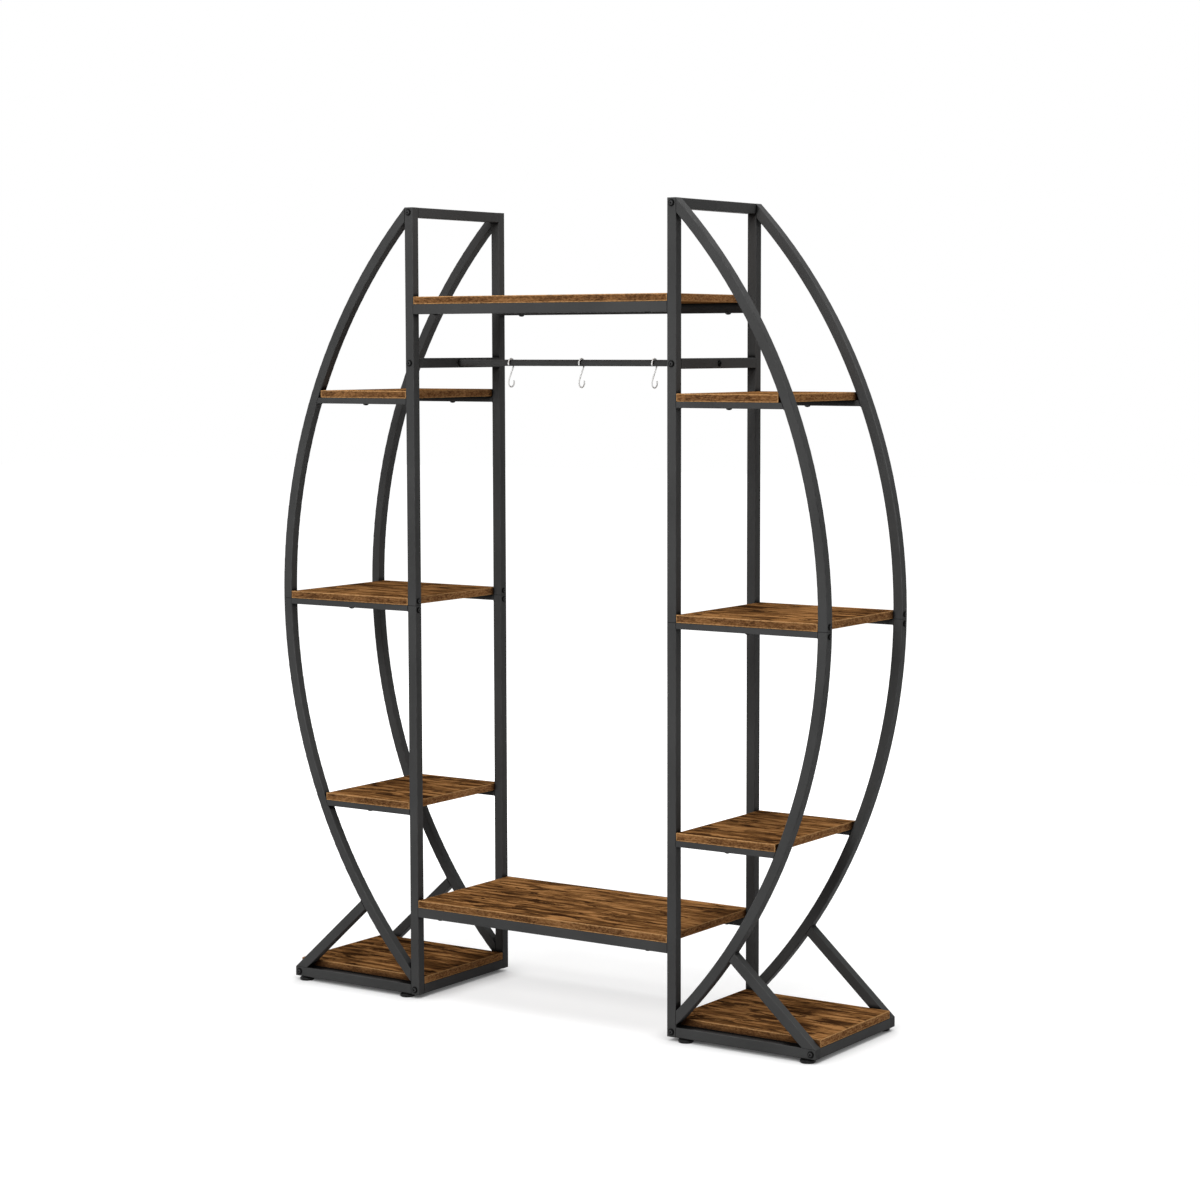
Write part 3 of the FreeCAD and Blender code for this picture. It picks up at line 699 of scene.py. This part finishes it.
def weld_bead():
    sizes = [BEAD_END] + [1.0, BEAD_DRAWN_IN] * BEAD_RIPPLES + [1.0, BEAD_END]
    step = bead_length / (len(sizes) - 1)
    deselect_all()
    bpy.ops.mesh.primitive_circle_add(vertices=BEAD_SIDES, radius=BEAD_RADIUS * BEAD_END, fill_type="NGON",
                                      location=(0, -bead_length / 2, 0), rotation=(math.pi / 2, 0, 0))
    bead = bpy.context.object
    apply_place()
    edit_all(bead)
    for ring, (before, after) in enumerate(zip(sizes, sizes[1:]), start=1):
        bpy.ops.mesh.extrude_region_move(TRANSFORM_OT_translate={"value": (0, step, 0)})
        ratio = after / before
        bpy.ops.transform.resize(value=(ratio, ratio, ratio),
                                 center_override=(0, ring * step - bead_length / 2, 0))
    close_up(smooth_angle=70)
    bead.data.materials.append(coat)
    return bead


bead = weld_bead()
print("one bead has", len(bead.data.polygons), "faces")

# %% Find the circle of the bent tubes
BEND_LIFT = 0.004
base_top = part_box("right_base_outer_rail")[1].z
base_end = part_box("right_base_outer_rail")[1].x
post_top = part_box("right_top_rail")[1].z
bend_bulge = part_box("right_front_upper_frame")[1].x - post_out
bend_chord = post_top - base_top - BEND_LIFT
bend_z = post_top - bend_chord / 2
bend_radius = (bend_chord ** 2 / 4 + bend_bulge ** 2) / (2 * bend_bulge)
bend_x = post_out + bend_bulge - bend_radius
print("bent to a radius of", bend_radius)

# %% Find the corners of a rack
STRUT_SLOPE = math.radians(42)
SHELF_RAIL = 0.012
strut_across = tube * math.sin(STRUT_SLOPE)
strut_down = tube * math.cos(STRUT_SLOPE)


def bend_inside(z):
    return bend_x + math.sqrt((bend_radius - tube) ** 2 - (z - bend_z) ** 2)


def meet_bend(x, z):
    # Where a line from here, up along the strut, first meets the outside of the bent tube
    along = Vector((-math.cos(STRUT_SLOPE), math.sin(STRUT_SLOPE)))
    start = Vector((x - bend_x, z - bend_z))
    middle = start.dot(along)
    reach = math.sqrt(middle ** 2 - start.dot(start) + bend_radius ** 2)
    hit = start + along * (-middle - reach)
    return bend_x + hit.x, bend_z + hit.y


def rail_corners(board):
    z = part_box(board)[0].z - SHELF_RAIL
    return [(post_out, z), (bend_inside(z), z)]


bend_end = math.sqrt((bend_radius - tube) ** 2 - (post_out - bend_x) ** 2)
upper_corners = rail_corners("right_upper_shelf") + [(post_out, bend_z + bend_end)]
lower_corners = rail_corners("right_middle_shelf") + rail_corners("right_lower_shelf")
lower_corners += [(post_out, bend_z - bend_end), (post_out, base_top)]
lower_corners += [(base_end - tube / math.sin(STRUT_SLOPE), base_top), meet_bend(base_end, base_top)]
lower_corners += [meet_bend(base_end - strut_across, base_top - strut_down)]
print(len(upper_corners), "corners above and", len(lower_corners), "below, on each rack")

# %% Lay the beads
SIDES = {"left": -1, "right": 1}
CORNERS = {"upper": upper_corners, "lower": lower_corners}

for side_name, side in SIDES.items():
    for face_name in ("front", "back"):
        for part, corners in CORNERS.items():
            frame_low, frame_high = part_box(f"{side_name}_{face_name}_{part}_frame")
            y = (frame_low.y + frame_high.y) / 2
            places = [Matrix.Translation((side * x, y, z)) for x, z in corners]
            welds = joined_copies(bead, f"{side_name}_{face_name}_{part}_welds", places)
            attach(welds, "stand")
bpy.data.objects.remove(bead)
print("beads on eight frames")

# %% [markdown]
# ## Black strips as painted shade in the base gaps
#
# A base board lies between the front and the back rail with half a millimetre of play on each
# side. A thin black strip stands in that gap along the board's lower edge as painted shade: a
# dark sheet where the gap would lie in deep shade, and it shuts out the light from below. A black
# line in the board's finish would look alike from in front, but from above the gap would stay
# open. So a plane is scaled to the strip's outline, extruded up and bevelled.

# %% Make the strips
STRIP_THICK = 0.00046
STRIP_HIGH = 0.0042
STRIP_SINK = 0.0026
STRIP_EDGE = 0.0001
STRIP_END = 0.001
rail_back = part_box("right_base_outer_rail")[1].y
board_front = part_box("right_base_board")[1].y
strip_y = (rail_back + board_front) / 2
strip_low_x = post_out + STRIP_END
strip_high_x = base_end - tube - STRIP_END
# Painted shade: a black sheet in the gap beside each base board
shade_strip_finish = speckled("black_gap_shade", grey(0.003), grey(0.007),
                shine=(0.85, 0.95), grain_scale=2600, bump=0.3, gloss=0.05)


def gap_shade_strip():
    deselect_all()
    bpy.ops.mesh.primitive_plane_add(size=1)
    strip = bpy.context.object
    strip.scale = (strip_high_x - strip_low_x, STRIP_THICK, 1)
    apply_place()
    edit_all(strip)
    bpy.ops.mesh.extrude_region_move(TRANSFORM_OT_translate={"value": (0, 0, STRIP_HIGH)})
    bpy.ops.mesh.select_all(action="SELECT")
    bpy.ops.mesh.bevel(offset=STRIP_EDGE, segments=2)
    close_up(smooth_angle=40)
    strip.data.materials.append(shade_strip_finish)
    return strip


strip = gap_shade_strip()
for side_name, side in SIDES.items():
    x = side * (strip_low_x + strip_high_x) / 2
    places = [Matrix.Translation((x, way * strip_y, base_top - STRIP_SINK)) for way in (1, -1)]
    strips = joined_copies(strip, f"{side_name}_base_strips", places)
    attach(strips, "stand")
bpy.data.objects.remove(strip)
print("strips", round(1000 * (strip_high_x - strip_low_x)), "mm long beside both base boards")

# %% [markdown]
# ## Threads of the levelling feet
#
# A foot can be screwed out by a few millimetres, and then its threaded stud shows. The stud is a
# plain rod in the frame. A bump pattern would leave its outline smooth, so the thread goes on as
# a thin ridge that winds up around it. A small diamond beside the axis, swept by a Screw
# modifier, gives that ridge.

# %% Model one thread and copy it to every foot
STUD_RADIUS = 0.004
THREAD_RIDGE = 0.00018
THREAD_PITCH = 0.00125
THREAD_TURNS = 11
THREAD_STEPS = 20
THREAD_LEAD_IN = 0.0008
RIDGE_SINK = 0.00005
RIDGE_SIDES = 4
MERGE_DISTANCE = 0.000001
thread_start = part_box("right_base_outer_rail")[0].z + THREAD_LEAD_IN


def stud_thread():
    deselect_all()
    bpy.ops.mesh.primitive_circle_add(vertices=RIDGE_SIDES, radius=THREAD_RIDGE + RIDGE_SINK,
                                      fill_type="NOTHING", rotation=(math.pi / 2, 0, 0),
                                      location=(STUD_RADIUS - RIDGE_SINK, 0, thread_start))
    thread = bpy.context.object
    apply_place()
    winding = thread.modifiers.new("winding", "SCREW")
    winding.axis = "Z"
    winding.screw_offset = THREAD_PITCH
    winding.iterations = THREAD_TURNS
    winding.steps = THREAD_STEPS
    winding.render_steps = THREAD_STEPS
    bpy.ops.object.modifier_apply(modifier=winding.name)
    edit_all(thread)
    bpy.ops.mesh.remove_doubles(threshold=MERGE_DISTANCE)
    bpy.ops.mesh.select_all(action="SELECT")
    bpy.ops.mesh.fill_holes(sides=RIDGE_SIDES)
    close_up(smooth_angle=50)
    thread.data.materials.append(zinc)
    return thread


thread = stud_thread()
for foot_name in foot_names:
    foot_low, foot_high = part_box(foot_name)
    middle = Vector((foot_low.x + foot_high.x, foot_low.y + foot_high.y, 0)) / 2
    ridge = joined_copies(thread, f"{foot_name}_thread", [Matrix.Translation(middle)])
    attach(ridge, foot_name)
bpy.data.objects.remove(thread)
print("threads on", len(foot_names), "feet")

# %% [markdown]
# ## Rounded hook tips
#
# The wire of a dipped hook ends in a smooth drop of coating. A bevel could round the wire itself,
# but the meshes of the frame stay as they are. So half a ball, cut from a sphere, closes each
# end. Both loops of a hook are alike, turned by half a circle about the hook's middle, so the
# second tip is the first one turned.

# %% Round the hooks
HOOK_WIRE = 0.0015
HOOK_LOOP = 0.0095
HOOK_HALF = 0.019
HOOK_TIP_TURN = math.radians(195)
tip_cosine = math.cos(HOOK_TIP_TURN)
tip_sine = math.sin(HOOK_TIP_TURN)
tip_place = Vector((0, HOOK_LOOP * tip_cosine, HOOK_HALF + HOOK_LOOP * tip_sine))
tip_heading = Vector((0, -tip_sine, tip_cosine))


def aimed(direction):
    return direction.to_track_quat("Z", "Y").to_matrix().to_4x4()


def wire_tip():
    deselect_all()
    bpy.ops.mesh.primitive_uv_sphere_add(segments=24, ring_count=12, radius=HOOK_WIRE)
    tip = bpy.context.object
    edit_all(tip)
    bpy.ops.mesh.bisect(plane_co=(0, 0, 0), plane_no=(0, 0, 1), use_fill=True, clear_inner=True)
    close_up(smooth_angle=40)
    tip.data.materials.append(white_wire)
    return tip


tip = wire_tip()
for hook_name in hook_names:
    hook_low, hook_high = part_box(hook_name)
    middle = (hook_low + hook_high) / 2
    places = [Matrix.Translation(middle + tip_place * way) @ aimed(tip_heading * way) for way in (1, -1)]
    tips = joined_copies(tip, f"{hook_name}_tips", places)
    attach(tips, hook_name)
bpy.data.objects.remove(tip)
print("tips on", len(hook_names), "hooks")

# %% [markdown]
# ## Contacts in the power inlets
#
# Each light has a round inlet in one end cap. A thin metal sleeve lines it and a round-ended pin
# stands in its middle. They could be modelled in place, but upright shapes are easier to size and
# to select by their direction. The record states the inlet's mouth, direction, radius and depth,
# so both are modelled upright at the origin and then turned to point out of the mouth.

# %% Model a sleeve and a pin
SLEEVE_WALL = 0.0003
SLEEVE_RECESS = 0.0004
PIN_RADIUS = 0.0007
PIN_SHARE = 0.75
PIN_ROUNDING = 0.7
FACING_UP = 0.9


def inlet_sleeve(radius, depth):
    deselect_all()
    bpy.ops.mesh.primitive_cylinder_add(vertices=32, radius=radius, depth=depth - SLEEVE_RECESS,
                                        end_fill_type="NOTHING",
                                        location=(0, 0, -(depth + SLEEVE_RECESS) / 2))
    sleeve = bpy.context.object
    apply_place()
    wall = sleeve.modifiers.new("wall", "SOLIDIFY")
    wall.thickness = SLEEVE_WALL
    wall.offset = -1
    bpy.ops.object.modifier_apply(modifier=wall.name)
    bpy.ops.object.shade_smooth_by_angle(angle=math.radians(40))
    return sleeve


def contact_pin(depth):
    length = PIN_SHARE * depth
    deselect_all()
    bpy.ops.mesh.primitive_cylinder_add(vertices=20, radius=PIN_RADIUS, depth=length,
                                        location=(0, 0, length / 2 - depth))
    pin = bpy.context.object
    apply_place()
    edit_all(pin)
    bpy.ops.mesh.select_all(action="DESELECT")
    bpy.ops.object.mode_set(mode="OBJECT")
    for face in pin.data.polygons:
        face.select = face.normal.z > FACING_UP
    bpy.ops.object.mode_set(mode="EDIT")
    bpy.ops.mesh.bevel(offset=PIN_ROUNDING * PIN_RADIUS, segments=4)
    close_up(smooth_angle=40)
    return pin


# %% Line the inlets
MILLIMETRE = 1 / 1000
inlets = [mount for mount in frame["record"]["mounts"] if mount["name"].endswith("_light_inlet")]
for mount in inlets:
    depth = mount["dims"]["length_mm"] * MILLIMETRE
    sleeve = inlet_sleeve(mount["dims"]["r_mm"] * MILLIMETRE, depth)
    pin = contact_pin(depth)
    deselect_all()
    pin.select_set(True)
    sleeve.select_set(True)
    bpy.context.view_layer.objects.active = sleeve
    bpy.ops.object.join()
    sleeve.data.transform(Matrix.Translation(mount["pos_m"]) @ aimed(Vector(mount["axis"])))
    sleeve.name = mount["name"] + "_contact"
    sleeve.data.materials.append(zinc)
    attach(sleeve, "stand")
print(len(inlets), "inlets lined")

# %% [markdown]
# ## The studio
#
# A white surround and a pale floor that keeps only a faint shadow. A curved backdrop would hide
# the horizon from one side. This floor fades into the white on all sides. To the eye and in
# reflections the world is plain white, and the floor gets enough of that white to lose its
# horizon, except close under the stand, where an ambient occlusion node keeps the white out of
# the shade. As a source of light both are dimmer, so that the right-hand sides of the dark tubes
# keep their depth.

# %% Floor and world
FLOOR_SIZE = 40.0
FLOOR_COLOUR = (0.5, 0.5, 0.5)
FLOOR_ROUGHNESS = 0.9
FLOOR_NEAR = 0.9
FLOOR_FAR = 2.4
FLOOR_WHITE_NEAR = 0.62
FLOOR_WHITE_FAR = 1.0
FLOOR_SHADE_REACH = 0.06
SURROUND_LIGHT = 0.25
WHITE = (1.0, 1.0, 1.0, 1.0)


def seen_or_mirrored(tree):
    # True for the camera, for reflections and for what is seen through glass
    rays = add_node(tree, "LightPath").outputs
    share = calculate(tree, "MAXIMUM", rays["Is Camera Ray"], rays["Is Glossy Ray"])
    return calculate(tree, "MAXIMUM", share, rays["Is Transmission Ray"])


def studio_world():
    world = bpy.data.worlds.new("studio")
    world.use_nodes = True
    tree = world.node_tree
    source = tree.nodes["Background"]
    source.inputs["Color"].default_value = WHITE
    source.inputs["Strength"].default_value = SURROUND_LIGHT
    shown = add_node(tree, "Background")
    shown.inputs["Color"].default_value = WHITE
    mix = add_node(tree, "MixShader")
    tree.links.new(seen_or_mirrored(tree), mix.inputs[0])
    tree.links.new(source.outputs[0], mix.inputs[1])
    tree.links.new(shown.outputs[0], mix.inputs[2])
    tree.links.new(mix.outputs[0], tree.nodes["World Output"].inputs["Surface"])
    return world


def studio_floor_finish():
    material, tree, shader = new_finish("studio_floor")
    shader.inputs["Base Color"].default_value = (*FLOOR_COLOUR, 1.0)
    shader.inputs["Roughness"].default_value = FLOOR_ROUGHNESS
    shader.inputs["Specular IOR Level"].default_value = 0.0
    reach = add_node(tree, "VectorMath", operation="LENGTH")
    tree.links.new(place_on_object(tree), reach.inputs[0])
    white = spread(tree, reach.outputs["Value"], FLOOR_NEAR, FLOOR_FAR, FLOOR_WHITE_NEAR, FLOOR_WHITE_FAR)
    shade = add_node(tree, "AmbientOcclusion")
    shade.inputs["Distance"].default_value = FLOOR_SHADE_REACH
    white = calculate(tree, "MULTIPLY", white, shade.outputs["AO"])
    white = calculate(tree, "MULTIPLY", white, seen_or_mirrored(tree))
    tree.links.new(white, shader.inputs["Emission Strength"])
    shader.inputs["Emission Color"].default_value = WHITE
    return material


bpy.context.scene.world = studio_world()
bpy.context.scene.view_settings.view_transform = "Standard"
deselect_all()
bpy.ops.mesh.primitive_plane_add(size=FLOOR_SIZE, location=(0, 0, 0))
floor = bpy.context.object
floor.name = "studio_floor"
floor.data.materials.append(studio_floor_finish())
print("floor", FLOOR_SIZE, "m across")

# %% [markdown]
# ## Lamps
#
# Three broad discs light the stand, one from above, one from the front and a weak one from
# behind. A picture of a studio could light it too, but discs are easier to place and need no
# file. They are kept out of reflections, so that no tube shows a lamp as a white patch and gloss
# mirrors the surround alone.

# %% Light the studio
STAND_MIDDLE = Vector((0, 0, 0.8))
STUDIO_LAMPS = {
    "overhead": {"place": (0.9, -0.4, 4.8), "size": 3.8, "power": 165},
    "front": {"place": (0.3, -4.6, 3.2), "size": 2.6, "power": 175},
    "back_left": {"place": (-3.0, 4.6, 3.0), "size": 2.6, "power": 90},
}


def soft_lamp(name, place, size, power):
    data = bpy.data.lights.new(name, "AREA")
    data.shape = "DISK"
    data.size = size
    data.energy = power
    lamp = bpy.data.objects.new(name, data)
    bpy.context.collection.objects.link(lamp)
    lamp.location = place
    lamp.rotation_euler = (STAND_MIDDLE - lamp.location).to_track_quat("-Z", "Y").to_euler()
    lamp.visible_glossy = False
    print(name, "lamp", power, "W")


for name, settings in STUDIO_LAMPS.items():
    soft_lamp(name, **settings)
